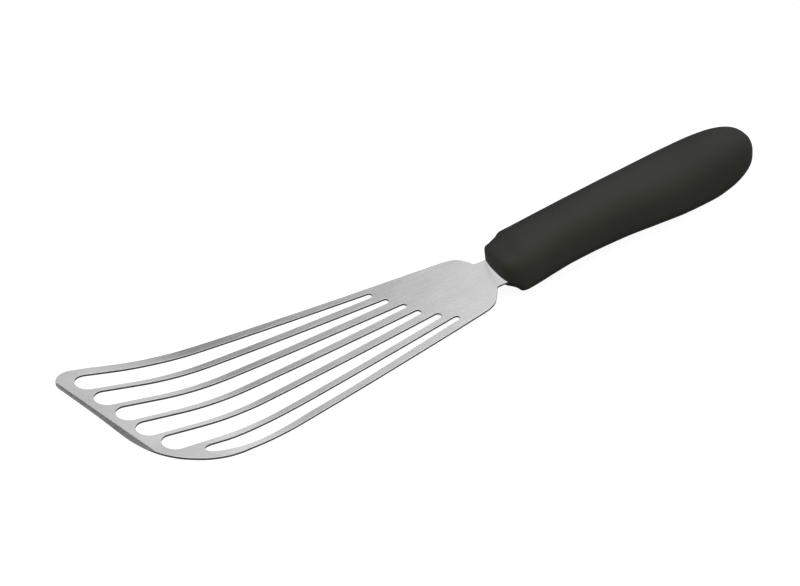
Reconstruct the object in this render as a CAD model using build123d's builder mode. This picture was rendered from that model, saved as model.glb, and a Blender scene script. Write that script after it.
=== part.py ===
from build123d import *
import os
from math import sin, cos, asin, atan2, radians, pi, copysign, dist

# Slotted turner: one stainless sheet blade with a hidden tang, and one moulded grip
# formed around that tang. Lengths are millimetres, angles are degrees.
# The tool lies on Z = 0, resting on the grip's two small flats, with the origin in the
# middle of its footprint. The blade points to -X and the grip to +X. "Far" is the +Y
# side and "near" the -Y side.
# Sizes below are in the tool's local axes, parallel to these: X = 0 is the grip's
# front, Y = 0 its centreline and Z = 0 the top face of the blade's level pad.

os.makedirs("parts", exist_ok=True)

# ---------------------------------------------------------------- blade sizes
SHEET_T = 1.0                  # sheet thickness
SKEW_DEG = 16.397              # bend line and ground edge are skewed from square by this

# bent profile, square to the bend line; "arc" lengths are developed lengths
PAD_END = 36.544               # end of the flat pad
EASE_ARC = 73.351              # gentle spring curve before the bend
EASE_DEG = 1.98                # slope at the end of the gentle curve
BEND_ARC = 28.760              # the bend itself
LIP_DEG = 17.0                 # upward slope of the flat front lip
STOCK_START = -118.0           # uncut sheet: developed distance of its rear end
STOCK_END = 200.0              # and of its front end
STOCK_HALF = 95                # half-width of the uncut sheet
CUT_HALF = 70                  # outline and slot cuts reach this far above and below

# planar grind along the front edge, parallel to the bend line
GRIND_START = 163.80           # developed distance of the grind's top line
GRIND_DEG = 21.0               # grind angle below the sheet's top face
GRIND_REACH = 12               # length of the grinding cutter
GRIND_HEIGHT = 4               # height of the grinding cutter above the sheet

# neck and tang
NECK_HALF = 8.7                # half-width of the neck in front of the grip
NECK_FRONT = -0.4              # the parallel neck runs between these X places
NECK_REAR = 1.0
TANG_FRONT = 5.0               # the neck has narrowed to the tang here
TANG_HALF_FRONT = 6.6
TANG_HALF_REAR = 5.4
TANG_LENGTH = 100.0
TANG_END_BULGE = 3             # length of the arc that closes the tang's rear end
LOCK_HOLE_R = 3.0
LOCK_HOLE_X = (24.0, 54.0, 84.0)
LOCK_CUT_HALF = 5

# blade outline in the developed (flat) sheet, (X, Y)
FAR_SHOULDER = [
    (-4.40, 9.02), (-5.10, 9.15), (-5.60, 9.60), (-6.10, 11.00), (-7.55, 13.55),
    (-9.40, 15.72), (-11.25, 16.92), (-14.10, 17.86), (-17.46, 18.52)]
NEAR_SHOULDER = [
    (-3.90, -8.50), (-4.60, -8.65), (-5.15, -9.25), (-6.10, -10.70), (-8.10, -13.35),
    (-9.75, -15.42), (-11.55, -16.83), (-14.00, -17.80), (-17.46, -18.43)]
FAR_EDGE = [
    (-17.46, 18.52), (-40.00, 21.95), (-62.00, 25.30), (-85.00, 28.88), (-104.00, 31.83),
    (-118.00, 34.02), (-129.00, 35.88), (-140.00, 37.72), (-151.00, 39.43),
    (-161.00, 40.89), (-167.00, 41.77), (-172.66, 42.36)]
NEAR_EDGE = [
    (-17.46, -18.43), (-31.40, -20.31), (-45.35, -22.14), (-59.29, -23.98), (-73.24, -25.86),
    (-87.18, -27.70), (-101.12, -29.57), (-115.07, -31.50), (-129.01, -33.47)]
# slanted front edge with its rounded corners, from the far edge round to the near edge
FRONT = [
    (-172.66, 42.36), (-175.20, 42.31), (-178.15, 41.12), (-180.82, 38.26), (-181.73, 34.60),
    (-180.28, 28.50), (-177.73, 19.50), (-175.30, 10.40), (-172.95, 1.00), (-171.43, -5.10),
    (-169.80, -10.85), (-167.78, -15.97), (-165.48, -20.27), (-162.92, -23.85),
    (-158.40, -28.20), (-153.08, -31.43), (-146.50, -33.95), (-139.70, -34.87),
    (-134.00, -34.42), NEAR_EDGE[-1]]

# tapered slots in the developed sheet:
# (rear centre, rear radius, front centre, front radius, outward bow of the far side)
SLOTS = [
    ((-50.24, 18.98), 1.56, (-169.62, 32.14), 5.44, 0.33),
    ((-46.36, 11.84), 1.61, (-166.90, 18.90), 5.35, 0.0),
    ((-41.76, 4.82), 1.52, (-163.20, 5.88), 5.28, 0.0),
    ((-38.98, -2.00), 1.66, (-160.20, -6.60), 5.22, 0.0),
    ((-33.42, -8.80), 1.75, (-154.72, -18.75), 5.30, 0.0)]
BOW_START, BOW_END = -122.0, -163.0    # X range of the bow

# the sixth slot is narrower and follows the curved near edge; (X, Y) points run
# forward along its far side, round the tip and back along its near side
SLOT6_REAR = (-28.00, -14.58)  # centre of the rear end
SLOT6_REAR_R = 1.46
SLOT6_FAR_SETBACK = 0.15       # the sides start this far in front of the rear centre
SLOT6_NEAR_SETBACK = 0.25
SLOT6_FAR = [
    (-60.0, -16.41), (-80.0, -18.52), (-100.0, -20.72), (-120.0, -22.62),
    (-132.0, -24.28), (-142.6, -25.34)]
SLOT6_TIP = [(-145.4, -26.20), (-146.25, -28.15), (-144.2, -30.10)]
SLOT6_NEAR = [
    (-138.0, -31.17), (-128.0, -30.85), (-112.4, -28.38), (-94.1, -25.66),
    (-80.0, -23.81), (-60.0, -20.72)]

# ---------------------------------------------------------------- grip sizes
# sections: (X, half-width, top Z, bottom Z, superellipse exponent)
NOSE = [
    (0.0, 9.12, 9.32, -3.90, 3.5), (2.5, 10.47, 9.52, -5.67, 3.0),
    (4.9, 11.83, 10.14, -7.66, 2.7), (6.9, 13.05, 10.76, -10.02, 2.5),
    (8.9, 13.63, 12.66, -10.66, 2.35)]
BODY = [
    NOSE[-1], (13.9, 13.45, 13.08, -10.30, 2.35),
    (21.8, 13.07, 13.82, -9.43, 2.35), (31.7, 12.71, 14.60, -8.58, 2.35),
    (43.6, 12.67, 15.25, -8.29, 2.35), (57.4, 13.13, 15.51, -8.43, 2.35),
    (73.2, 14.15, 15.33, -9.46, 2.35), (89.1, 14.86, 15.45, -10.56, 2.35),
    (101.0, 14.56, 15.70, -10.76, 2.35), (110.9, 13.65, 15.26, -9.20, 2.35),
    (117.8, 11.78, 14.38, -7.19, 2.35), (122.7, 9.00, 12.78, -5.42, 2.35),
    (126.2, 5.22, 9.48, -3.96, 2.35), (127.9, 2.10, 5.30, -1.60, 2.2)]
SECTION_POINTS = 28
UNDERSIDE_GAIN = 0.7           # added to the exponent across the bottom of each section
UNDERSIDE_START = 0.72         # sine of the angle below centre where the gain sets in
UNDERSIDE_BLEND = 0.25         # rise of that sine over which it reaches its full value
POCKET_FRONT = -3.0            # the tang's pocket opens through the nose
REST_Z = -10.56                # level of the two small flats it lies on
REST_CUT_X = 64                # middle of the block that cuts the flats
REST_CUT_SIZE = (150, 40)
REST_CUT_DEPTH = 5

# ---------------------------------------------------------------- frames
ORIGIN = (26.21, -4.00, -REST_Z)
SKEW_COS, SKEW_SIN = cos(radians(SKEW_DEG)), sin(radians(SKEW_DEG))
TOOL = Plane(origin=ORIGIN)
# square to the bend line: sketch x runs to the tip, sketch y is up
SIDE = Plane(origin=ORIGIN, x_dir=(-SKEW_COS, -SKEW_SIN, 0), z_dir=(-SKEW_SIN, SKEW_COS, 0))


def station(x):
    """Plane square to the grip's axis at X = x; sketch x is tool Y, sketch y is tool Z."""
    return Plane(origin=TOOL.from_local_coords((x, 0, 0)), x_dir=(0, 1, 0), z_dir=(1, 0, 0))


# ---------------------------------------------------------------- developed to bent sheet
EASE_END = PAD_END + EASE_ARC
BEND_END = EASE_END + BEND_ARC
EASE_SLOPE, LIP_SLOPE = radians(EASE_DEG), radians(LIP_DEG)
EASE_R = EASE_ARC / EASE_SLOPE
BEND_R = BEND_ARC / radians(LIP_DEG - EASE_DEG)


def along_arc(run, rise, radius, start, end):
    """Run and rise after following an upward arc from one slope to another."""
    return run + radius * (sin(end) - sin(start)), rise + radius * (cos(start) - cos(end))


def sheet(s):
    """Slope (radians), run and rise of the sheet's top face at developed distance s."""
    if s <= PAD_END:
        return 0.0, s, 0.0
    if s <= EASE_END:
        slope = (s - PAD_END) / EASE_R
        return slope, *along_arc(PAD_END, 0, EASE_R, 0, slope)
    ease_end = along_arc(PAD_END, 0, EASE_R, 0, EASE_SLOPE)
    if s <= BEND_END:
        slope = EASE_SLOPE + (s - EASE_END) / BEND_R
        return slope, *along_arc(*ease_end, BEND_R, EASE_SLOPE, slope)
    run, rise = along_arc(*ease_end, BEND_R, EASE_SLOPE, LIP_SLOPE)
    beyond = s - BEND_END
    return LIP_SLOPE, run + beyond * cos(LIP_SLOPE), rise + beyond * sin(LIP_SLOPE)


def top(s):
    """SIDE sketch point on the sheet's top face."""
    _, run, rise = sheet(s)
    return run, rise


def under(s):
    """SIDE sketch point on the sheet's bottom face."""
    slope, run, rise = sheet(s)
    return run + SHEET_T * sin(slope), rise - SHEET_T * cos(slope)


def to_plan(point):
    """Developed point -> plan point on the bent sheet at mid-thickness."""
    x, y = point
    slope, run, _ = sheet(-(x * SKEW_COS + y * SKEW_SIN))
    run += 0.5 * SHEET_T * sin(slope)
    across = -x * SKEW_SIN + y * SKEW_COS
    return -run * SKEW_COS - across * SKEW_SIN, -run * SKEW_SIN + across * SKEW_COS


def plan(points):
    return [to_plan(point) for point in points]


# ---------------------------------------------------------------- curves
def between(a, b, steps):
    """Evenly spaced points from a to b, both included."""
    return [(a[0] + (b[0] - a[0]) * i / steps, a[1] + (b[1] - a[1]) * i / steps)
            for i in range(steps + 1)]


def around(centre, radius, start, sweep):
    """Nine points along a circular arc; angles in radians."""
    angles = [start + sweep * i / 8 for i in range(9)]
    return [(centre[0] + radius * cos(a), centre[1] + radius * sin(a)) for a in angles]


def bowed(point, bow):
    """Push a point towards +Y by a smooth bow between BOW_START and BOW_END."""
    x, y = point
    t = (x - BOW_START) / (BOW_END - BOW_START)
    return (x, y + bow * sin(pi * t) ** 2) if 0 < t < 1 else point


def tapered_slot(rear, rear_r, front, front_r, bow):
    """Developed points of a slot's front end, rear end, near side and far side."""
    heading = atan2(front[1] - rear[1], front[0] - rear[0])
    # angle from the heading to where the sides touch the round ends
    tangent = pi / 2 + asin((front_r - rear_r) / dist(rear, front))
    front_end = around(front, front_r, heading + tangent, -2 * tangent)
    rear_end = around(rear, rear_r, heading + tangent, 2 * pi - 2 * tangent)
    near_side = between(rear_end[0], front_end[0], 8)
    far_side = between(rear_end[-1], front_end[-1], 20 if bow else 8)
    return front_end, rear_end, near_side, [bowed(point, bow) for point in far_side]


def grip_section(half_width, z_top, z_bottom, exponent):
    """Superelliptic section whose underside is a little flatter."""
    z_mid, half_height = (z_top + z_bottom) / 2, (z_top - z_bottom) / 2
    points = []
    for i in range(SECTION_POINTS):
        angle = 2 * pi * i / SECTION_POINTS
        c, s = cos(angle), sin(angle)
        blend = min(max((-s - UNDERSIDE_START) / UNDERSIDE_BLEND, 0), 1)
        power = 2 / (exponent + UNDERSIDE_GAIN * blend * blend * (3 - 2 * blend))
        points.append((copysign(half_width * abs(c) ** power, c),
                       z_mid + copysign(half_height * abs(s) ** power, s)))
    return points


def tang_outline(x_front):
    """Draw the neck and tang behind X = x_front, open at the front."""
    x_arc = TANG_LENGTH - TANG_END_BULGE
    for side in (1, -1):
        Polyline((x_front, side * NECK_HALF), (NECK_REAR, side * NECK_HALF),
                 (TANG_FRONT, side * TANG_HALF_FRONT), (x_arc, side * TANG_HALF_REAR))
    ThreePointArc((x_arc, -TANG_HALF_REAR), (TANG_LENGTH, 0), (x_arc, TANG_HALF_REAR))


# ---------------------------------------------------------------- blade
def make_blade():
    with BuildPart() as blade:
        # bent sheet profile, run across the width
        ease_mid, bend_mid = (PAD_END + EASE_END) / 2, (EASE_END + BEND_END) / 2
        with BuildSketch(SIDE):
            with BuildLine():
                for face in (top, under):
                    Line(face(STOCK_START), face(PAD_END))
                    ThreePointArc(face(PAD_END), face(ease_mid), face(EASE_END))
                    ThreePointArc(face(EASE_END), face(bend_mid), face(BEND_END))
                    Line(face(BEND_END), face(STOCK_END))
                for s in (STOCK_START, STOCK_END):
                    Line(top(s), under(s))
            make_face()
        extrude(amount=STOCK_HALF, both=True)

        # blade and tang outline, cut through the bent sheet
        with BuildSketch(TOOL):
            with BuildLine():
                for curve in (FAR_EDGE, NEAR_EDGE, FRONT, FAR_SHOULDER, NEAR_SHOULDER):
                    Spline(*plan(curve))
                Line((NECK_FRONT, NECK_HALF), to_plan(FAR_SHOULDER[0]))
                Line((NECK_FRONT, -NECK_HALF), to_plan(NEAR_SHOULDER[0]))
                tang_outline(NECK_FRONT)
            make_face()
        extrude(amount=CUT_HALF, both=True, mode=Mode.INTERSECT)

        # five tapered slots with round ends
        with BuildSketch(TOOL):
            for slot in SLOTS:
                with BuildLine():
                    for curve in tapered_slot(*slot):
                        Spline(*plan(curve))
                make_face()
        extrude(amount=CUT_HALF, both=True, mode=Mode.SUBTRACT)

        # sixth slot, following the curved near edge
        x, y = SLOT6_REAR
        far_start = (x - SLOT6_FAR_SETBACK, y + SLOT6_REAR_R)
        near_start = (x - SLOT6_NEAR_SETBACK, y - SLOT6_REAR_R)
        with BuildSketch(TOOL):
            with BuildLine():
                Spline(*plan(between(far_start, SLOT6_FAR[0], 5) + SLOT6_FAR[1:]))
                Spline(*plan([SLOT6_FAR[-1], *SLOT6_TIP, SLOT6_NEAR[0]]))
                Spline(*plan(SLOT6_NEAR[:-1] + between(SLOT6_NEAR[-1], near_start, 5)))
                ThreePointArc(*plan([near_start, (x + SLOT6_REAR_R, y), far_start]))
            make_face()
        extrude(amount=CUT_HALF, both=True, mode=Mode.SUBTRACT)

        # planar grind along the front edge
        run, rise = top(GRIND_START)
        grind = radians(LIP_DEG - GRIND_DEG)
        reach_x, reach_z = GRIND_REACH * cos(LIP_SLOPE), GRIND_REACH * sin(LIP_SLOPE)
        up_x, up_z = -GRIND_HEIGHT * sin(LIP_SLOPE), GRIND_HEIGHT * cos(LIP_SLOPE)
        with BuildSketch(SIDE):
            with BuildLine():
                Polyline((run, rise),
                         (run + GRIND_REACH * cos(grind), rise + GRIND_REACH * sin(grind)),
                         (run + reach_x + up_x, rise + reach_z + up_z),
                         (run + up_x, rise + up_z), close=True)
            make_face()
        extrude(amount=STOCK_HALF, both=True, mode=Mode.SUBTRACT)

        # locking holes in the tang, filled by the grip's plastic
        with BuildSketch(TOOL):
            with Locations(*[(x, 0) for x in LOCK_HOLE_X]):
                Circle(LOCK_HOLE_R)
        extrude(amount=LOCK_CUT_HALF, both=True, mode=Mode.SUBTRACT)
    return blade.part


# ---------------------------------------------------------------- grip
def make_handle():
    with BuildPart() as handle:
        # flared nose with a stepped shoulder, then palm-swell body with a rounded butt
        for sections, ruled in ((NOSE, True), (BODY, False)):
            for x, *shape in sections:
                with BuildSketch(station(x)):
                    with BuildLine():
                        Spline(*grip_section(*shape), periodic=True)
                    make_face()
            loft(ruled=ruled)

        # room for the tang, leaving the plugs that fill its locking holes
        with BuildSketch(TOOL):
            with BuildLine():
                tang_outline(POCKET_FRONT)
                Line((POCKET_FRONT, NECK_HALF), (POCKET_FRONT, -NECK_HALF))
            make_face()
            with Locations(*[(x, 0) for x in LOCK_HOLE_X]):
                Circle(LOCK_HOLE_R, mode=Mode.SUBTRACT)
        extrude(amount=-SHEET_T, mode=Mode.SUBTRACT)

        # flats under the heel and the belly, one plane level with the pad
        with BuildSketch(Plane(origin=TOOL.from_local_coords((REST_CUT_X, 0, REST_Z)))):
            Rectangle(*REST_CUT_SIZE)
        extrude(amount=-REST_CUT_DEPTH, mode=Mode.SUBTRACT)
    return handle.part


for name, part in (("blade", make_blade()), ("handle", make_handle())):
    part.label = name
    export_step(part, f"parts/{name}.step")
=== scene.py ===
"""A slotted turner: a bent, skewed steel blade with six slots on a moulded black grip.

Sizes are in mm in the tool frame: X runs back along the grip, Y across, Z up. The blade's
top face is Z = 0 and the grip's nose is X = 0, so the blade's tip points to -X. "Far" is
+Y and "near" is -Y. ORIGIN moves the tool frame to the row frame, whose floor is Z = 0.
The blade is drawn flat ("developed") and then bent.
"""
import bpy
import bmesh
import math
from math import sin, cos, tan, asin, atan2, radians, pi
import numpy as np
from mathutils import Matrix, Vector
from mathutils.geometry import delaunay_2d_cdt


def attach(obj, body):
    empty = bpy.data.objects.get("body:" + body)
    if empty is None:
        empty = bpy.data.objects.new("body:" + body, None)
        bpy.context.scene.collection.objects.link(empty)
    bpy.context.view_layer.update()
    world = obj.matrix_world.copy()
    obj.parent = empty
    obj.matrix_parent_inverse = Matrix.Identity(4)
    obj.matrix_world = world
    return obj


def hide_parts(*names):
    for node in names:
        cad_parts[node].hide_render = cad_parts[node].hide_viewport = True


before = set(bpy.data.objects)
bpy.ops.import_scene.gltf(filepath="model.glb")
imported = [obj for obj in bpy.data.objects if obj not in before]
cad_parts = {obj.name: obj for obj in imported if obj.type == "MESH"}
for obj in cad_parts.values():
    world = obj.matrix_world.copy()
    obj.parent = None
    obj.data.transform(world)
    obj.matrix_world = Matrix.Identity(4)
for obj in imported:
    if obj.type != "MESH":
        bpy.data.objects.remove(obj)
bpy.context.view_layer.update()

ORIGIN = np.array((26.21, -4.00, 10.56))
REST_Z = -ORIGIN[2]                    # the floor, in the tool frame

# ------------------------------------------------------------------ blade sizes
THICKNESS = 1.0
SKEW = radians(16.397)                 # turn of the bend lines from square across
COS_SKEW, SIN_SKEW = cos(SKEW), sin(SKEW)
# Along the run from the nose: flat, a long slight curve, a tighter bend, a straight lip
FLAT_RUN = 36.544
EASE_ARC, EASE_ANGLE = 73.351, radians(1.98)
BEND_ARC, LIP_ANGLE = 28.760, radians(17.0)
EASE_END = FLAT_RUN + EASE_ARC
BEND_END = EASE_END + BEND_ARC
EASE_RADIUS = EASE_ARC / EASE_ANGLE
BEND_RADIUS = BEND_ARC / (LIP_ANGLE - EASE_ANGLE)
GRIND_RUN, GRIND_ANGLE = 163.80, radians(21.0)    # bevel on the front edge's top face

EDGE_RADIUS = 0.11
ROUND_STEPS = 3                        # segments in each rounded edge
GRID_STEP = 2.6                        # spacing of the points inside the faces
CREASE_STEP = 1.2
FACE, WALL, GROUND, ROUND = range(4)   # material slots of the blade

# Developed outline, (X, Y)
NECK_HALF = 8.7
TANG_END, TANG_ROOT, NECK_FOOT = (97.0, 5.40), (5.4, 6.58), (1.4, 8.55)
TANG_END_BULGE = 3.0
TANG_HOLES = [24.0 + 30.0 * i for i in range(3)]
TANG_HOLE_RADIUS = 3.0
NECK_FRONT = -0.8
FAR_SHOULDER = [(-4.40, 9.02), (-5.10, 9.15), (-5.60, 9.60), (-6.10, 11.00), (-7.55, 13.55),
                (-9.40, 15.72), (-11.25, 16.92), (-14.10, 17.86), (-17.46, 18.52)]
NEAR_SHOULDER = [(-3.90, -8.50), (-4.60, -8.65), (-5.15, -9.25), (-6.10, -10.70),
                 (-8.10, -13.35), (-9.75, -15.42), (-11.55, -16.83), (-14.00, -17.80),
                 (-17.46, -18.43)]
FAR_EDGE = [FAR_SHOULDER[-1], (-40.00, 21.95), (-62.00, 25.30), (-85.00, 28.88),
            (-104.00, 31.83), (-118.00, 34.02), (-129.00, 35.88), (-140.00, 37.72),
            (-151.00, 39.43), (-161.00, 40.89), (-167.00, 41.77), (-172.66, 42.36)]
NEAR_EDGE = [NEAR_SHOULDER[-1], (-31.40, -20.31), (-45.35, -22.14), (-59.29, -23.98),
             (-73.24, -25.86), (-87.18, -27.70), (-101.12, -29.57), (-115.07, -31.50),
             (-129.01, -33.47)]
# Front edge, from the far corner round to the near edge
FRONT = [FAR_EDGE[-1], (-175.20, 42.31), (-178.15, 41.12), (-180.82, 38.26), (-181.73, 34.60),
         (-180.28, 28.50), (-177.73, 19.50), (-175.30, 10.40), (-172.95, 1.00),
         (-171.43, -5.10), (-169.80, -10.85), (-167.78, -15.97), (-165.48, -20.27),
         (-162.92, -23.85), (-158.40, -28.20), (-153.08, -31.43), (-146.50, -33.95),
         (-139.70, -34.87), (-134.00, -34.42)]

# Straight slots: rear centre, rear radius, front centre, front radius, bow of the far side
SLOTS = [((-50.24, 18.98), 1.56, (-169.62, 32.14), 5.44, 0.33),
         ((-46.36, 11.84), 1.61, (-166.90, 18.90), 5.35, 0.0),
         ((-41.76, 4.82), 1.52, (-163.20, 5.88), 5.28, 0.0),
         ((-38.98, -2.00), 1.66, (-160.20, -6.60), 5.22, 0.0),
         ((-33.42, -8.80), 1.75, (-154.72, -18.75), 5.30, 0.0)]
BOW_START, BOW_END = -122.0, -163.0    # X range of the bow

# Sixth slot: its rounded rear end, and the rest from its far side round to its near side
CURVED_REAR, CURVED_RADIUS = (-28.00, -14.58), 1.46
CURVED_SIDES = [(-42.0, -14.53), (-60.0, -16.41), (-80.0, -18.52), (-100.0, -20.72),
                (-111.0, -21.68), (-120.0, -22.62), (-128.0, -23.72), (-134.0, -24.53),
                (-140.0, -25.07), (-144.0, -25.55), (-145.95, -26.70), (-146.28, -28.2),
                (-145.2, -29.62), (-142.3, -30.62), (-138.0, -31.17), (-133.5, -31.22),
                (-128.0, -30.85), (-121.6, -29.96), (-112.4, -28.38), (-103.3, -26.88),
                (-94.1, -25.66), (-80.0, -23.81), (-60.0, -20.72), (-42.0, -17.98)]

# ------------------------------------------------------------------ grip sizes
GRIP_END = 128.3
# X, half width, top Z, bottom Z, superellipse exponent
STATIONS = np.array([
    (0.0, 9.12, 9.32, -3.90, 3.5), (2.5, 10.47, 9.52, -5.67, 3.0),
    (4.9, 11.83, 10.14, -7.66, 2.7), (6.9, 13.05, 10.76, -10.02, 2.5),
    (8.9, 13.63, 12.66, -10.66, 2.35), (13.9, 13.45, 13.08, -10.30, 2.35),
    (21.8, 13.07, 13.82, -9.43, 2.35), (31.7, 12.71, 14.60, -8.58, 2.35),
    (43.6, 12.67, 15.25, -8.29, 2.35), (57.4, 13.13, 15.51, -8.43, 2.35),
    (73.2, 14.15, 15.33, -9.46, 2.35), (89.1, 14.86, 15.45, -10.56, 2.35),
    (101.0, 14.56, 15.70, -10.76, 2.35), (110.9, 13.65, 15.26, -9.20, 2.35),
    (117.8, 11.78, 14.38, -7.19, 2.35), (122.7, 9.00, 12.78, -5.42, 2.35),
    (126.2, 5.22, 9.48, -3.96, 2.35), (128.0, 2.10, 4.90, -0.40, 2.2),
    (GRIP_END, 0.0, 2.2, 2.2, 2.2)])
END_Z = STATIONS[-1, 2]
UNDERSIDE_EXPONENT = 0.7               # added to the exponent underneath
AROUND = 112                           # vertices round the grip
RIM_RADIUS = 0.80
DOME_HEIGHT, DOME_SHIFT = 1.00, 0.02   # front face: bulge, and its offset along X
SOFT_WIDTH, SOFT_END, SOFT_FADE = 2.8, 20.0, 10.0    # smoothing of the nose's normals


# ------------------------------------------------------------------ curves
def catmull(points, step):
    """Open centripetal Catmull-Rom curve through points, resampled about every step."""
    points = [np.array(point, float) for point in points]
    count = len(points)
    curve = []
    for i in range(count - 1):
        b, c = points[i], points[i + 1]
        a = points[i - 1] if i else b * 2 - c
        d = points[i + 2] if i + 2 < count else c * 2 - b
        t1 = max(np.linalg.norm(b - a) ** 0.5, 1e-6)
        t2 = t1 + max(np.linalg.norm(c - b) ** 0.5, 1e-6)
        t3 = t2 + max(np.linalg.norm(d - c) ** 0.5, 1e-6)
        pieces = max(1, int(math.ceil(np.linalg.norm(c - b) / step)))
        for k in range(pieces):
            t = t1 + (t2 - t1) * k / pieces
            ab = (t1 - t) / t1 * a + t / t1 * b
            bc = (t2 - t) / (t2 - t1) * b + (t - t1) / (t2 - t1) * c
            cd = (t3 - t) / (t3 - t2) * c + (t - t2) / (t3 - t2) * d
            abc = (t2 - t) / t2 * ab + t / t2 * bc
            bcd = (t3 - t) / (t3 - t1) * bc + (t - t1) / (t3 - t1) * cd
            curve.append((t2 - t) / (t2 - t1) * abc + (t - t1) / (t2 - t1) * bcd)
    curve.append(points[-1])
    return [tuple(point) for point in curve]


def line(a, b, step):
    """Points from a to b, both included."""
    count = max(1, int(round(math.hypot(b[0] - a[0], b[1] - a[1]) / step)))
    return [(a[0] + (b[0] - a[0]) * i / count, a[1] + (b[1] - a[1]) * i / count)
            for i in range(count + 1)]


def arc(centre, angles, radius, radius_y=None):
    """Points of a circle, or of an ellipse when radius_y is given."""
    if radius_y is None:
        radius_y = radius
    return [(centre[0] + radius * cos(a), centre[1] + radius_y * sin(a)) for a in angles]


def mirrored(points):
    """The same path on the other side of Y = 0, run backwards."""
    return [(x, -y) for x, y in reversed(points)]


def without_repeats(points, gap=0.08):
    """A closed ring without points closer than gap."""
    kept = []
    for point in points:
        if not kept or math.hypot(point[0] - kept[-1][0], point[1] - kept[-1][1]) > gap:
            kept.append(tuple(point))
    while math.hypot(kept[0][0] - kept[-1][0], kept[0][1] - kept[-1][1]) <= gap:
        kept.pop()
    return kept


def pchip(x, y):
    """Monotone cubic interpolation, x rising."""
    gap, slope = np.diff(x), np.diff(y) / np.diff(x)
    tangent = np.zeros_like(y)
    for i in range(1, len(x) - 1):
        if slope[i - 1] * slope[i] > 0:
            w1, w2 = 2 * gap[i] + gap[i - 1], gap[i] + 2 * gap[i - 1]
            tangent[i] = (w1 + w2) / (w1 / slope[i - 1] + w2 / slope[i])
    tangent[0] = slope[0]
    tangent[-1] = slope[-1]

    def value_at(place):
        place = np.clip(np.asarray(place, float), x[0], x[-1])
        i = np.clip(np.searchsorted(x, place, side="right") - 1, 0, len(x) - 2)
        t = (place - x[i]) / gap[i]
        return ((1 + 2 * t) * (1 - t) ** 2 * y[i] + t * (1 - t) ** 2 * gap[i] * tangent[i]
                + t * t * (3 - 2 * t) * y[i + 1] + t * t * (t - 1) * gap[i] * tangent[i + 1])
    return value_at


# ------------------------------------------------------------------ rings and points
def oriented(ring, anticlockwise):
    x, y = np.array(ring).T
    area = 0.5 * np.sum(x * np.roll(y, -1) - np.roll(x, -1) * y)
    return ring if (area > 0) == anticlockwise else ring[::-1]


def inside(points, ring):
    """Even-odd test of many points against one closed ring."""
    x, y = points[:, 0], points[:, 1]
    result = np.zeros(len(points), bool)
    for (x0, y0), (x1, y1) in zip(ring, np.roll(ring, -1, 0)):
        if y0 != y1:
            result ^= ((y0 > y) != (y1 > y)) & (x < (x1 - x0) * (y - y0) / (y1 - y0) + x0)
    return result


def on_sheet(points, rings):
    """Inside the outline rings[0] and outside all the other rings."""
    result = inside(points, rings[0])
    for ring in rings[1:]:
        result &= ~inside(points, ring)
    return result


def distance_to(points, ring):
    x, y = points[:, 0], points[:, 1]
    nearest = np.full(len(points), 1e9)
    for a, b in zip(ring, np.roll(ring, -1, 0)):
        d = b - a
        t = np.clip(((x - a[0]) * d[0] + (y - a[1]) * d[1]) / max(d @ d, 1e-12), 0, 1)
        nearest = np.minimum(nearest, np.hypot(x - a[0] - t * d[0], y - a[1] - t * d[1]))
    return nearest


# ------------------------------------------------------------------ the bent sheet
def to_row(points):
    """Tool frame in mm -> row frame in metres."""
    return (points + ORIGIN) / 1000.0


def skewed(points):
    """Run towards the tip, square to the bend lines, and distance along those lines."""
    points = np.atleast_2d(points)
    run = -(points[:, 0] * COS_SKEW + points[:, 1] * SIN_SKEW)
    return run, -points[:, 0] * SIN_SKEW + points[:, 1] * COS_SKEW


def sheet(run):
    """Slope, forward distance and rise of the top face at each developed run."""
    zones = [run <= FLAT_RUN, run <= EASE_END, run <= BEND_END]
    ease_x = FLAT_RUN + EASE_RADIUS * sin(EASE_ANGLE)
    ease_z = EASE_RADIUS * (1 - cos(EASE_ANGLE))
    lip_x = ease_x + BEND_RADIUS * (sin(LIP_ANGLE) - sin(EASE_ANGLE))
    lip_z = ease_z + BEND_RADIUS * (cos(EASE_ANGLE) - cos(LIP_ANGLE))
    slope = np.select(zones, [0.0, (run - FLAT_RUN) / EASE_RADIUS,
                              EASE_ANGLE + (run - EASE_END) / BEND_RADIUS], LIP_ANGLE)
    forward = np.select(zones, [run, FLAT_RUN + EASE_RADIUS * np.sin(slope),
                                ease_x + BEND_RADIUS * (np.sin(slope) - sin(EASE_ANGLE))],
                        lip_x + (run - BEND_END) * cos(LIP_ANGLE))
    rise = np.select(zones, [0.0, EASE_RADIUS * (1 - np.cos(slope)),
                             ease_z + BEND_RADIUS * (cos(EASE_ANGLE) - np.cos(slope))],
                     lip_z + (run - BEND_END) * sin(LIP_ANGLE))
    return slope, forward, rise


def bend(points, height):
    """Developed points at heights above the top face -> row frame metres."""
    run, along = skewed(points)
    slope, x, z = sheet(run)
    x = x - height * np.sin(slope)
    z = z + height * np.cos(slope)
    return to_row(np.c_[-x * COS_SKEW - along * SIN_SKEW, -x * SIN_SKEW + along * COS_SKEW, z])


def up_dir(points, lean=0.0):
    """Sheet normal, leaned towards the tip by lean."""
    angle = sheet(skewed(points)[0])[0] - lean
    return np.c_[np.sin(angle) * COS_SKEW, np.sin(angle) * SIN_SKEW, np.cos(angle)]


def side_dir(points, flat):
    """Developed directions flat as 3D directions on the bent sheet."""
    slope = sheet(skewed(points)[0])[0]
    run, along = skewed(flat)
    return np.c_[-run * np.cos(slope) * COS_SKEW - along * SIN_SKEW,
                 -run * np.cos(slope) * SIN_SKEW + along * COS_SKEW, run * np.sin(slope)]


def grind_drop(points):
    return np.maximum(0, skewed(points)[0] - GRIND_RUN) * tan(GRIND_ANGLE)


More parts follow.
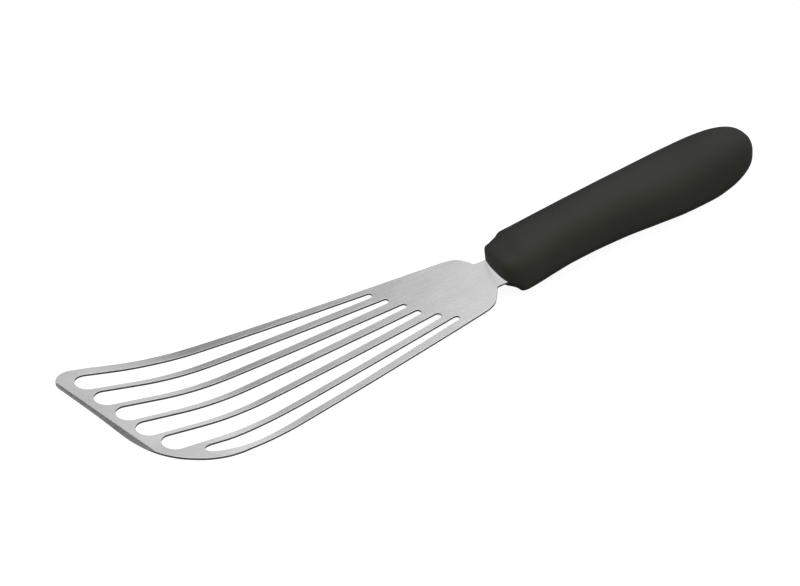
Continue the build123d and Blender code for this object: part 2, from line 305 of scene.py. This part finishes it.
# ------------------------------------------------------------------ blade contours
def outline():
    """Developed outline with its hidden tang, anticlockwise from the tang's far end."""
    near = catmull([(NECK_FRONT, -NECK_HALF)] + NEAR_SHOULDER, step=0.45)[:-1]
    near += catmull(NEAR_EDGE, step=1.1)[:-1]
    near += catmull(NEAR_EDGE[-1:] + FRONT[::-1], step=0.6)[:-1]
    far = catmull(FAR_EDGE[::-1], step=1.1)[:-1]
    far += catmull(FAR_SHOULDER[::-1] + [(NECK_FRONT, NECK_HALF)], step=0.45)
    neck = [NECK_FOOT, (0.6, NECK_HALF), (-0.2, NECK_HALF)]
    near_foot, near_root, near_end = mirrored([TANG_END, TANG_ROOT, NECK_FOOT])
    end = arc((TANG_END[0], 0.0), np.linspace(pi / 2, -pi / 2, 15), TANG_END_BULGE, TANG_END[1])
    points = line(TANG_END, TANG_ROOT, 1.5)[:-1] + line(TANG_ROOT, NECK_FOOT, 0.8)[:-1]
    points += neck + far[::-1] + near[::-1] + mirrored(neck)
    points += line(near_foot, near_root, 0.8)[1:] + line(near_root, near_end, 1.5)[1:]
    return without_repeats(points + end[::-1][1:-1])


def tapered_slot(rear, rear_radius, front, front_radius, bow):
    dx, dy = front[0] - rear[0], front[1] - rear[1]
    axis = atan2(dy, dx)
    half = pi / 2 + asin((front_radius - rear_radius) / math.hypot(dx, dy))
    points = arc(front, np.linspace(axis + half, axis - half, 29), front_radius)
    rear_angles = np.linspace(axis - half, axis - half - (2 * pi - 2 * half), 15)
    rear_end = arc(rear, rear_angles, rear_radius)
    points += line(points[-1], rear_end[0], 1.1)[1:-1] + rear_end
    points += line(rear_end[-1], points[0], 1.1)[1:-1]
    if bow:
        bowed = []
        for x, y in points:
            centre_y = rear[1] + (front[1] - rear[1]) * (x - rear[0]) / (front[0] - rear[0])
            t = (x - BOW_START) / (BOW_END - BOW_START)
            on_bow = 0 < t < 1 and y > centre_y
            bowed.append((x, y + bow * sin(pi * t) ** 2) if on_bow else (x, y))
        points = bowed
    return without_repeats(points)


def curved_slot():
    """The slot nearest the near edge: narrow at the rear, its near side curved."""
    x, y = CURVED_REAR
    rear_angles = np.linspace(-pi / 2 + 0.15, pi / 2 - 0.10, 11)
    sides = catmull([(x - 0.3, y + CURVED_RADIUS + 0.02)] + CURVED_SIDES
                    + [(x - 0.3, y - CURVED_RADIUS - 0.05)], step=0.8)
    return without_repeats(sides + arc(CURVED_REAR, rear_angles, CURVED_RADIUS))


# ------------------------------------------------------------------ blade mesh
def link_object(name, data):
    made = bpy.data.objects.new(name, data)
    bpy.context.scene.collection.objects.link(made)
    return made


def edge_rows(contour):
    """One row per edge point: point, direction into the material, start of the rounded
    edge on the face, rounding radius. A row is put in where the grind line crosses."""
    edge = np.array(contour)
    tangent = np.roll(edge, -1, 0) - np.roll(edge, 1, 0)
    tangent /= np.linalg.norm(tangent, axis=1)[:, None]
    inward = np.c_[-tangent[:, 1], tangent[:, 0]]
    radius = np.minimum(EDGE_RADIUS, 0.34 * (THICKNESS - grind_drop(edge)))
    inner = edge + inward * radius[:, None]
    beyond = skewed(inner)[0] - GRIND_RUN
    rows = np.c_[edge, inward, inner, radius]
    result = []
    for i, row in enumerate(rows):
        j = (i + 1) % len(rows)
        result.append(row)
        if beyond[i] * beyond[j] < 0:
            share = beyond[i] / (beyond[i] - beyond[j])
            if share < 0.12:           # too close: the crossing takes the point's place
                result.pop()
            crossing = row + (rows[j] - row) * share
            crossing[2:4] /= np.linalg.norm(crossing[2:4])
            result.append(crossing)
    return np.array(result)


def fill_faces(inner, spans):
    """Points and anticlockwise triangles that fill the developed face, with a line of
    edges along the top of the grind. The points start with inner."""
    rings = [inner[a:b] for a, b in spans]
    low, high = inner.min(0), inner.max(0)
    grid_x, grid_y = np.meshgrid(np.arange(low[0], high[0], GRID_STEP),
                                 np.arange(low[1], high[1], GRID_STEP))
    grid = np.c_[grid_x.ravel(), grid_y.ravel()]
    keep = on_sheet(grid, rings)
    for ring in rings:
        keep &= distance_to(grid, ring) > 0.75
    keep &= np.abs(skewed(grid)[0] - GRIND_RUN) > 0.8
    grid = grid[keep]

    run, along = skewed(inner)
    on_line = [i for i in range(len(inner)) if abs(run[i] - GRIND_RUN) < 1e-6]
    first, last = sorted(on_line, key=lambda i: along[i])
    a, b = inner[first], inner[last]
    pieces = int(np.linalg.norm(b - a) / CREASE_STEP)
    crease = np.array([a + (b - a) * i / pieces for i in range(1, pieces)])
    points = np.vstack([inner, grid, crease])

    edges = []
    for a, b in spans:
        ids = list(range(a, b))
        edges += list(zip(ids, ids[1:] + ids[:1]))
    chain = [first] + list(range(len(points) - len(crease), len(points))) + [last]
    edges += list(zip(chain, chain[1:]))
    corners, _, cells, sources = delaunay_2d_cdt(
        [Vector((float(x), float(y))) for x, y in points], edges, [], 0, 1e-6, True)[:4]
    source = [ids[0] if ids else -1 for ids in sources]
    if min(source) < 0 or len(corners) != len(points):
        raise RuntimeError("the blade's contours cross")
    centres = np.array([[(corners[f[0]][k] + corners[f[1]][k] + corners[f[2]][k]) / 3
                         for k in (0, 1)] for f in cells])
    triangles = []
    for cell, wanted in zip(cells, on_sheet(centres, rings)):
        if wanted:
            ids = [source[i] for i in cell]
            p, q, r = points[ids]
            clockwise = (q[0] - p[0]) * (r[1] - p[1]) - (q[1] - p[1]) * (r[0] - p[0]) < 0
            triangles.append(ids[::-1] if clockwise else ids)
    return points, triangles


def build_blade(name, contours):
    """Closed mesh of the bent sheet: flat faces, rounded edges, ground front edge.
    contours[0] is the outline, the rest are openings."""
    loops = [edge_rows(oriented(contour, k == 0)) for k, contour in enumerate(contours)]
    ends = np.cumsum([len(loop) for loop in loops]).tolist()
    spans = list(zip([0] + ends[:-1], ends))
    rows = np.vstack(loops)
    edge, inward, inner, radius = rows[:, :2], rows[:, 2:4], rows[:, 4:6], rows[:, 6]
    points, triangles = fill_faces(inner, spans)
    count = len(points)

    # vertex blocks: top face, bottom face, then rings down round the edge
    verts = [bend(points, -grind_drop(points)), bend(points, np.full(count, -THICKNESS))]
    normals = [up_dir(points), -up_dir(points)]
    flats = [points, points]
    lean = np.where(skewed(inner)[0] > GRIND_RUN + 1e-6, GRIND_ANGLE, 0.0)
    turns = [pi / 2 * k / ROUND_STEPS for k in range(1, ROUND_STEPS + 1)]
    for angle, upper in [(a, True) for a in turns] + [(a, False) for a in reversed(turns)]:
        spot = edge + inward * (radius * (1 - sin(angle)))[:, None]
        curl = radius * (1 - cos(angle))
        height = -grind_drop(spot) - curl if upper else curl - THICKNESS
        face_dir = up_dir(spot, lean) if upper else -up_dir(spot)
        normal = cos(angle) * face_dir + sin(angle) * side_dir(spot, -inward)
        verts.append(bend(spot, height))
        normals.append(normal / np.linalg.norm(normal, axis=1)[:, None])
        flats.append(spot)
    verts, normals, flats = np.vstack(verts), np.vstack(normals), np.vstack(flats)

    faces, slots, corner_normals = [], [], []
    ground_normals = up_dir(points, GRIND_ANGLE)
    run = skewed(points)[0]
    for ids in triangles:
        ground = np.mean(run[ids]) > GRIND_RUN
        faces.append(ids)
        slots.append(GROUND if ground else FACE)
        corner_normals += [ground_normals[i] if ground else normals[i] for i in ids]
    for ids in triangles:
        below = [i + count for i in ids[::-1]]
        faces.append(below)
        slots.append(FACE)
        corner_normals += [normals[i] for i in below]
    levels = [0] + [2 * count + k * len(edge) for k in range(2 * ROUND_STEPS)] + [count]
    for first, end in spans:
        for i in range(first, end):
            j = i + 1 if i + 1 < end else first
            ground = skewed((inner[i] + inner[j])[None] / 2)[0][0] > GRIND_RUN
            for level, (a, b) in enumerate(zip(levels, levels[1:])):
                quad = [a + i, b + i, b + j, a + j]
                faces.append(quad)
                # the walls and the lower rounded edges take the dark cut-edge material, painted
                # shade
                slots.append(WALL if level >= ROUND_STEPS else GROUND if ground else ROUND)
                for v in quad:
                    bevel = ground and level == 0 and v < count
                    corner_normals.append(ground_normals[v] if bevel else normals[v])
    mesh = bpy.data.meshes.new(name)
    mesh.from_pydata([tuple(v) for v in verts], [], [list(map(int, f)) for f in faces])
    mesh.polygons.foreach_set("material_index", slots)
    mesh.polygons.foreach_set("use_smooth", [True] * len(faces))
    flat_uv = mesh.uv_layers.new(name="flat")      # developed place, in units of 100 mm
    flat_uv.data.foreach_set("uv", [flats[v][k] / 100.0 for f in faces for v in f
                                    for k in (0, 1)])
    mesh.update()
    mesh.normals_split_custom_set([tuple(n) for n in corner_normals])
    return link_object(name, mesh)


full_turn = np.linspace(0, 2 * pi, 49)[:-1]
contours = [outline()] + [tapered_slot(*slot) for slot in SLOTS] + [curved_slot()]
contours += [arc((x, 0.0), full_turn, TANG_HOLE_RADIUS) for x in TANG_HOLES]
blade = build_blade("blade_steel", contours)

# ------------------------------------------------------------------ grip mesh
# interpolated in the root of the distance from the end, so that the end comes out round
root_distance = np.sqrt(GRIP_END - STATIONS[:, 0])[::-1]
half_width_at, top_at, bottom_at, exponent_at = [
    pchip(root_distance, STATIONS[::-1, column]) for column in (1, 2, 3, 4)]


def section(x, inset=0.0, at_x=None):
    """Ring of (X, Y, Z) with the grip's section at x, set in by inset, placed at at_x."""
    root = np.sqrt(max(GRIP_END - x, 0.0))
    top, bottom = float(top_at(root)), float(bottom_at(root))
    angles = np.linspace(0, 2 * pi, AROUND + 1)[:-1]
    c, s = np.cos(angles), np.sin(angles)
    under = np.clip((-s - 0.72) / 0.25, 0, 1)
    exponent = float(exponent_at(root)) + UNDERSIDE_EXPONENT * under * under * (3 - 2 * under)
    half_width = max(float(half_width_at(root)) - inset, 0)
    half_height = max((top - bottom) / 2 - inset, 0)
    y = half_width * np.sign(c) * np.abs(c) ** (2 / exponent)
    z = (top + bottom) / 2 + half_height * np.sign(s) * np.abs(s) ** (2 / exponent)
    return np.c_[np.full(AROUND, x if at_x is None else at_x), y, np.maximum(z, REST_Z)]


def grip_rings():
    """Rings from the middle of the domed front face to the end, and the dome's mid Z."""
    nose = section(0.0)
    mid_z = nose[:, 2].mean()
    rings = []
    for k in (0.10, 0.25, 0.4, 0.55, 0.7, 0.82, 0.92):
        x = np.full(AROUND, -DOME_HEIGHT * (1 - k * k) + DOME_SHIFT)
        rings.append(np.c_[x, nose[:, 1] * k, mid_z + (nose[:, 2] - mid_z) * k])
    for angle in np.linspace(0, pi / 2, 6):
        rings.append(section(RIM_RADIUS * (1 - cos(angle)), RIM_RADIUS * (1 - sin(angle))))
    places = list(np.arange(0.9, 10.6, 0.35)) + list(np.arange(11.2, 110.0, 1.8))
    places += [GRIP_END - t * t for t in np.linspace(math.sqrt(GRIP_END - 111.0), 0.12, 30)]
    return rings + [section(x) for x in places], mid_z


def soften_nose(normals, grid):
    """Average the normals along the grip near the nose, where the moulded edges are soft."""
    travel = np.zeros(grid.shape[:2])
    travel[1:] = np.cumsum(np.linalg.norm(np.diff(grid, axis=0), axis=2), axis=0)
    share = np.gradient(travel, axis=0)
    soft = normals.copy()
    for j, x in enumerate(grid[:, 0, 0]):
        spread = SOFT_WIDTH * min(1.0, max(0.0, (SOFT_END - x) / SOFT_FADE))
        if spread > 0.05:
            weight = np.exp(-0.5 * ((travel - travel[j]) / spread) ** 2) * share
            total = weight.sum(axis=0)[:, None]
            soft[j] = (normals * weight[:, :, None]).sum(axis=0) / total
    return soft / np.maximum(np.linalg.norm(soft, axis=2)[:, :, None], 1e-12)


def build_grip(name):
    rings, mid_z = grip_rings()
    count = len(rings)
    front, back = count * AROUND, count * AROUND + 1
    verts = np.vstack(rings + [[[-DOME_HEIGHT + DOME_SHIFT, 0, mid_z]],
                               [[GRIP_END, 0, END_Z]]])
    pairs = [(i, (i + 1) % AROUND) for i in range(AROUND)]
    faces = []
    for a in range(0, (count - 1) * AROUND, AROUND):
        b = a + AROUND
        faces += [[a + i, a + k, b + k, b + i] for i, k in pairs]
    last = (count - 1) * AROUND
    for i, k in pairs:
        faces += [[front, k, i], [back, last + i, last + k]]
    mesh = bpy.data.meshes.new(name)
    mesh.from_pydata([tuple(v) for v in to_row(verts)], [], faces)
    work = bmesh.new()
    work.from_mesh(mesh)
    bmesh.ops.recalc_face_normals(work, faces=work.faces)
    work.to_mesh(mesh)
    work.free()
    mesh.polygons.foreach_set("use_smooth", [True] * len(mesh.polygons))
    mesh.update()
    normals = np.zeros((len(verts), 3))
    for face in mesh.polygons:
        weighted = np.array(face.normal) * face.area
        for v in face.vertices:
            normals[v] += weighted
    normals /= np.maximum(np.linalg.norm(normals, axis=1)[:, None], 1e-12)
    shape = (count, AROUND, 3)
    soft = soften_nose(normals[:front].reshape(shape), verts[:front].reshape(shape))
    normals[:front] = soft.reshape(-1, 3)
    mesh.normals_split_custom_set_from_vertices([tuple(n) for n in normals])
    return link_object(name, mesh)


grip = build_grip("handle_grip")


# ------------------------------------------------------------------ shader nodes
class Value:
    """An output socket; arithmetic on it adds Math nodes."""
    def __init__(self, graph, socket):
        self.graph, self.socket = graph, socket

    def __add__(self, other):
        return self.graph.math("ADD", self, other)

    def __radd__(self, other):
        return self.graph.math("ADD", other, self)

    def __sub__(self, other):
        return self.graph.math("SUBTRACT", self, other)

    def __rsub__(self, other):
        return self.graph.math("SUBTRACT", other, self)

    def __mul__(self, other):
        return self.graph.math("MULTIPLY", self, other)

    def fade(self, start, end):
        """0 at start, 1 at end, smooth between; start may be above end."""
        rising = start < end
        return self.graph.get("Result", "ShaderNodeMapRange", {
            "From Min": min(start, end), "From Max": max(start, end),
            "To Min": 0.0 if rising else 1.0, "To Max": 1.0 if rising else 0.0,
            "Value": self}, interpolation_type="SMOOTHSTEP")


class Graph:
    """An emptied node tree and short calls that fill it."""
    def __init__(self, tree):
        self.tree = tree
        tree.nodes.clear()

    def node(self, kind, inputs=None, **settings):
        made = self.tree.nodes.new(kind)
        for key, setting in settings.items():
            setattr(made, key, setting)
        for key, value in (inputs or {}).items():
            if isinstance(value, Value):
                self.tree.links.new(value.socket, made.inputs[key])
            else:
                made.inputs[key].default_value = value
        return made

    def get(self, output, kind, inputs=None, **settings):
        """Add a node and return one of its outputs."""
        return Value(self, self.node(kind, inputs, **settings).outputs[output])

    def math(self, operation, *operands):
        return self.get(0, "ShaderNodeMath", dict(enumerate(operands)), operation=operation)

    def split(self, vector):
        made = self.node("ShaderNodeSeparateXYZ", {0: vector})
        return [Value(self, socket) for socket in made.outputs]

    def noise(self, vector, scale, detail, roughness, stretch=None):
        if stretch is not None:
            vector = self.get("Vector", "ShaderNodeMapping",
                              {"Vector": vector, "Scale": stretch})
        return self.get("Fac", "ShaderNodeTexNoise", {
            "Vector": vector, "Scale": scale, "Detail": detail, "Roughness": roughness})

    def ramp(self, factor, *stops):
        """Colour ramp through two (position, colour) stops."""
        made = self.node("ShaderNodeValToRGB", {"Fac": factor})
        for element, (position, color) in zip(made.color_ramp.elements, stops):
            element.position = position
            element.color = (*color, 1)
        return Value(self, made.outputs["Color"])

    def scaled(self, color, painted_light_gain):
        return self.get(0, "ShaderNodeVectorMath", {0: color, "Scale": painted_light_gain}, operation="SCALE")

    def bump(self, height, strength, distance):
        return self.get("Normal", "ShaderNodeBump", {
            "Height": height, "Strength": strength, "Distance": distance})

    def ray(self, kind):
        return self.get(kind, "ShaderNodeLightPath")

    def principled(self, inputs):
        return self.get("BSDF", "ShaderNodeBsdfPrincipled", inputs)

    def diffuse(self, grey):
        return self.get("BSDF", "ShaderNodeBsdfDiffuse", {"Color": (grey, grey, grey, 1)})

    def emission(self, strength):
        return self.get("Emission", "ShaderNodeEmission", {"Strength": strength})

    def mix(self, factor, first, second):
        return self.get("Shader", "ShaderNodeMixShader", {"Fac": factor, 1: first, 2: second})


def new_material(name):
    material = bpy.data.materials.new(name)
    material.use_nodes = True
    return material, Graph(material.node_tree)


# ------------------------------------------------------------------ materials
def steel(name, base, roughness, anisotropy, grain_bump):
    """Brushed stainless: grain runs along the blade in its flat coordinates."""
    material, graph = new_material(name)
    flat = graph.get("UV", "ShaderNodeUVMap", uv_map="flat")
    # this mapping is left at rest; turning it would swing the grain
    grain_frame = graph.get("Vector", "ShaderNodeMapping", {"Vector": flat})

    def brush(stretch, roughness):
        return graph.noise(grain_frame, scale=1.0, detail=2.0, roughness=roughness,
                           stretch=stretch)

    # long brush lines at three widths, and a soft cloud over them
    fine = brush(stretch=(14.0, 900.0, 1.0), roughness=0.6)
    medium = brush(stretch=(6.0, 330.0, 1.0), roughness=0.6)
    broad = brush(stretch=(3.0, 90.0, 1.0), roughness=0.5)
    cloud = graph.noise(grain_frame, scale=9.0, detail=3.0, roughness=0.55)
    grain = fine * 0.45 + medium * 0.35 + broad * 0.20
    tone = grain * 0.75 + cloud * 0.25
    color = graph.ramp(tone, (0.33, tuple(c * 0.86 for c in base)),
                       (0.67, tuple(c * 1.10 for c in base)))
    # painted light: the lip is painted 17 % paler at its far corner and 15 % greyer at the near
    # one
    flat_x, flat_y = graph.split(flat)[:2]
    run = (flat_x * COS_SKEW + flat_y * SIN_SKEW) * -1.0
    on_lip = run.fade(start=1.36, end=1.50)
    painted_light_gain = (flat_y.fade(start=0.18, end=0.32) * 0.17
            - flat_y.fade(start=-0.14, end=-0.24) * 0.15)
    # grain and cloud both vary the roughness about its base value
    varied = (grain - 0.5) * 0.30 + (cloud - 0.5) * 0.06 + roughness
    graph.node("ShaderNodeOutputMaterial", {"Surface": graph.principled({
        "Base Color": graph.scaled(color, painted_light_gain * on_lip + 1.0),
        "Metallic": 1.0,
        "Roughness": varied,
        "Anisotropic": anisotropy,
        "Tangent": graph.get("Tangent", "ShaderNodeTangent",
                             direction_type="UV_MAP", uv_map="flat"),
        "Normal": graph.bump(grain, strength=grain_bump, distance=0.00002)})})
    return material


def cut_edge(name):
    """Sheared and tumbled sheet edge: duller, with a fine speckle; its colour is painted shade,
    far darker than the steel.
    """
    material, graph = new_material(name)
    place = graph.get("Object", "ShaderNodeTexCoord")
    fine = graph.noise(place, scale=2600.0, detail=3.0, roughness=0.6)
    coarse = graph.noise(place, scale=300.0, detail=2.0, roughness=0.5)
    # even mix of the two, in greys far darker than the steel: painted shade on the thin walls
    color = graph.ramp(fine * 0.5 + coarse * 0.5,
                       (0.35, (0.085, 0.085, 0.085)), (0.65, (0.16, 0.157, 0.153)))
    graph.node("ShaderNodeOutputMaterial", {"Surface": graph.principled({
        "Base Color": color,
        "Metallic": 0.9,
        "Roughness": fine * 0.25 + 0.38,
        "Normal": graph.bump(fine, strength=0.4, distance=0.00003)})})
    return material


def moulded(name):
    """Matte black polypropylene with the fine sparked grain of its mould."""
    material, graph = new_material(name)
    coords = graph.node("ShaderNodeTexCoord")
    place = Value(graph, coords.outputs["Object"])
    fine = graph.noise(place, scale=2200.0, detail=3.0, roughness=0.6)
    medium = graph.noise(place, scale=700.0, detail=2.0, roughness=0.5)
    cloud = graph.noise(place, scale=45.0, detail=3.0, roughness=0.5)
    # neutral black on top, and a trace of olive painted as a shade cast on the side turned to
    # the near edge
    neutral = graph.ramp(cloud, (0.3, (0.0222, 0.0217, 0.0204)),
                         (0.7, (0.0266, 0.0261, 0.0246)))
    olive = graph.ramp(cloud, (0.3, (0.0226, 0.0227, 0.0172)),
                       (0.7, (0.0270, 0.0271, 0.0208)))
    facing_y = graph.split(Value(graph, coords.outputs["Normal"]))[1]
    # a colour Mix has its A and B at inputs 6 and 7 and its result at output 2
    color = graph.get(2, "ShaderNodeMix", {
        "Factor": facing_y.fade(start=0.25, end=-0.65), 6: neutral, 7: olive},
        data_type="RGBA")
    # painted shade: the grip is darkened where it is seen edge-on, in two stages
    edge_on = graph.get("Facing", "ShaderNodeLayerWeight", {"Blend": 0.5})
    painted_light_gain = 1.03 - edge_on.fade(start=0.36, end=0.66) * 0.30
    painted_light_gain = painted_light_gain - edge_on.fade(start=0.78, end=1.0) * 0.25
    # and painted shade makes the palm end a shade darker than the rest, where the light falls
    # off (X in metres)
    painted_light_gain = painted_light_gain * (1.04 - graph.split(place)[0].fade(start=0.110, end=0.148) * 0.20)
    plastic = graph.principled({
        "Base Color": graph.scaled(color, painted_light_gain),
        "Roughness": medium * 0.10 + cloud * 0.08 + 0.50,
        "IOR": 1.49,
        "Specular IOR Level": 0.12,
        "Normal": graph.bump(fine * 0.6 + medium * 0.4, strength=0.35, distance=0.00006)})
    # painted reflection: to glossy rays the grip glows as pale as the studio round it, so the
    # steel shows no dark reflection of it
    reflected = graph.ray("Is Glossy Ray") * 0.92
    graph.node("ShaderNodeOutputMaterial", {
        "Surface": graph.mix(reflected, plastic, graph.emission(strength=1.05))})
    return material


face_steel = steel("brushed_face", base=(0.655, 0.645, 0.647), roughness=0.27,
                   anisotropy=0.45, grain_bump=0.25)
ground_steel = steel("ground_edge", base=(0.44, 0.435, 0.43), roughness=0.28,
                     anisotropy=0.2, grain_bump=0.15)
round_steel = steel("broken_edge", base=(0.66, 0.655, 0.65), roughness=0.30,
                    anisotropy=0.0, grain_bump=0.1)
wall_steel = cut_edge("cut_edge")
for material in (face_steel, wall_steel, ground_steel, round_steel):
    blade.data.materials.append(material)
grip_plastic = moulded("moulded_grip")
grip.data.materials.append(grip_plastic)

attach(blade, "root")
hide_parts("blade")
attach(grip, "root")
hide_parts("handle")
for node_name, material in (("blade", face_steel), ("handle", grip_plastic)):
    cad_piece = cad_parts[node_name]
    if not cad_piece.data.materials:
        cad_piece.data.materials.append(material)
    for material_slot in cad_piece.material_slots:
        material_slot.link = "OBJECT"
        material_slot.material = material


# ------------------------------------------------------------------ floor
def build_floor(size, z):
    """Pale floor: bright to the camera, dim to every other ray."""
    half = size / 2
    mesh = bpy.data.meshes.new("floor")
    mesh.from_pydata([(-half, -half, z), (half, -half, z), (half, half, z), (-half, half, z)],
                     [], [(0, 1, 2, 3)])
    made = link_object("floor", mesh)
    material, graph = new_material("pale_floor")
    seen = graph.get("Shader", "ShaderNodeAddShader", {
        0: graph.diffuse(grey=0.16), 1: graph.emission(strength=0.93)})
    graph.node("ShaderNodeOutputMaterial", {
        "Surface": graph.mix(graph.ray("Is Camera Ray"), graph.diffuse(grey=0.38), seen)})
    mesh.materials.append(material)
    return made


build_floor(size=60.0, z=-0.0002)


# ------------------------------------------------------------------ lights
def band(angle, one_side, other_side):
    """Soft-edged band; each side is the (start, end) of a fade, in degrees."""
    return angle.fade(*one_side) * angle.fade(*other_side)


def build_world():
    """Studio surround of soft panels; the camera itself sees plain white."""
    world = bpy.data.worlds.new("studio")
    bpy.context.scene.world = world
    world.use_nodes = True
    graph = Graph(world.node_tree)
    x, y, z = graph.split(graph.get("Generated", "ShaderNodeTexCoord"))
    # degrees: azimuth from +X towards +Y, and elevation
    azimuth = graph.math("ARCTAN2", y, x) * (180 / pi)
    elevation = graph.math("ARCSINE", z) * (180 / pi)
    # the panels on the +Y side slant, a quarter of a degree per degree of elevation
    slanted = azimuth - (elevation - 30.0) * 0.25
    far_right = band(slanted, (67.5, 62.0), (-20.0, 10.0))
    far_left = band(slanted, (100.0, 120.0), (175.0, 155.0))
    dark_gap = band(slanted, (60.0, 70.0), (108.0, 90.0))
    near_side = band(azimuth, (-110.0, -80.0), (-20.0, -45.0))
    below_top = elevation.fade(start=75.0, end=55.0)
    # matt surfaces see less of the far right panel and more of the near one
    matt = graph.ray("Is Diffuse Ray")
    light = far_right * (0.92 - matt * 0.60)
    light = light + far_left * 0.60
    light = light + near_side * (0.35 + matt * 0.65)
    # panels end below the top; then an even base, the dark gap and a bright ceiling
    light = light * below_top + 0.27 - dark_gap * 0.17
    light = light + elevation.fade(start=52.0, end=80.0) * 0.9
    studio, white = [
        graph.get("Background", "ShaderNodeBackground", {"Color": color, "Strength": 1.0})
        for color in (light, (1, 1, 1, 1))]
    graph.node("ShaderNodeOutputWorld", {
        "Surface": graph.mix(graph.ray("Is Camera Ray"), studio, white)})


def area_light(name, location, target, size, power):
    data = bpy.data.lights.new(name, "AREA")
    data.shape = "RECTANGLE"
    data.size, data.size_y = size
    data.energy = power
    made = link_object(name, data)
    made.location = location
    made.rotation_mode = "QUATERNION"
    aim = Vector(target) - Vector(location)
    made.rotation_quaternion = aim.to_track_quat("-Z", "Y")


build_world()
area_light("overhead", location=(0.0, -0.1, 1.6), target=(0, 0, 0), size=(2.6, 2.6), power=26.0)

# ------------------------------------------------------------------ camera
CAMERA_PLACE = (-279.90, -550.15, 545.75)          # tool frame, mm
camera_data = bpy.data.cameras.new("camera")
camera = link_object("camera", camera_data)
camera_data.sensor_fit = "HORIZONTAL"
camera_data.sensor_width = 36.0
camera_data.lens = 90.0
camera_data.clip_start, camera_data.clip_end = 0.01, 100.0
forward = Vector((0.29400, 0.68609, -0.66547)).normalized()
right = Vector((0.86288, -0.48998, -0.12394))
right = (right - forward * right.dot(forward)).normalized()
upward = right.cross(forward).normalized()
turn = Matrix((right, upward, -forward)).transposed().to_4x4()
camera.matrix_world = Matrix.Translation(Vector(to_row(np.array(CAMERA_PLACE)))) @ turn

scene = bpy.context.scene
scene.camera = camera
scene.view_settings.view_transform = "Standard"
scene.view_settings.look = "None"
scene.view_settings.exposure = 0.0
scene.view_settings.gamma = 1.0

# ------------------------------------------------------------------ final update
bpy.context.view_layer.update()
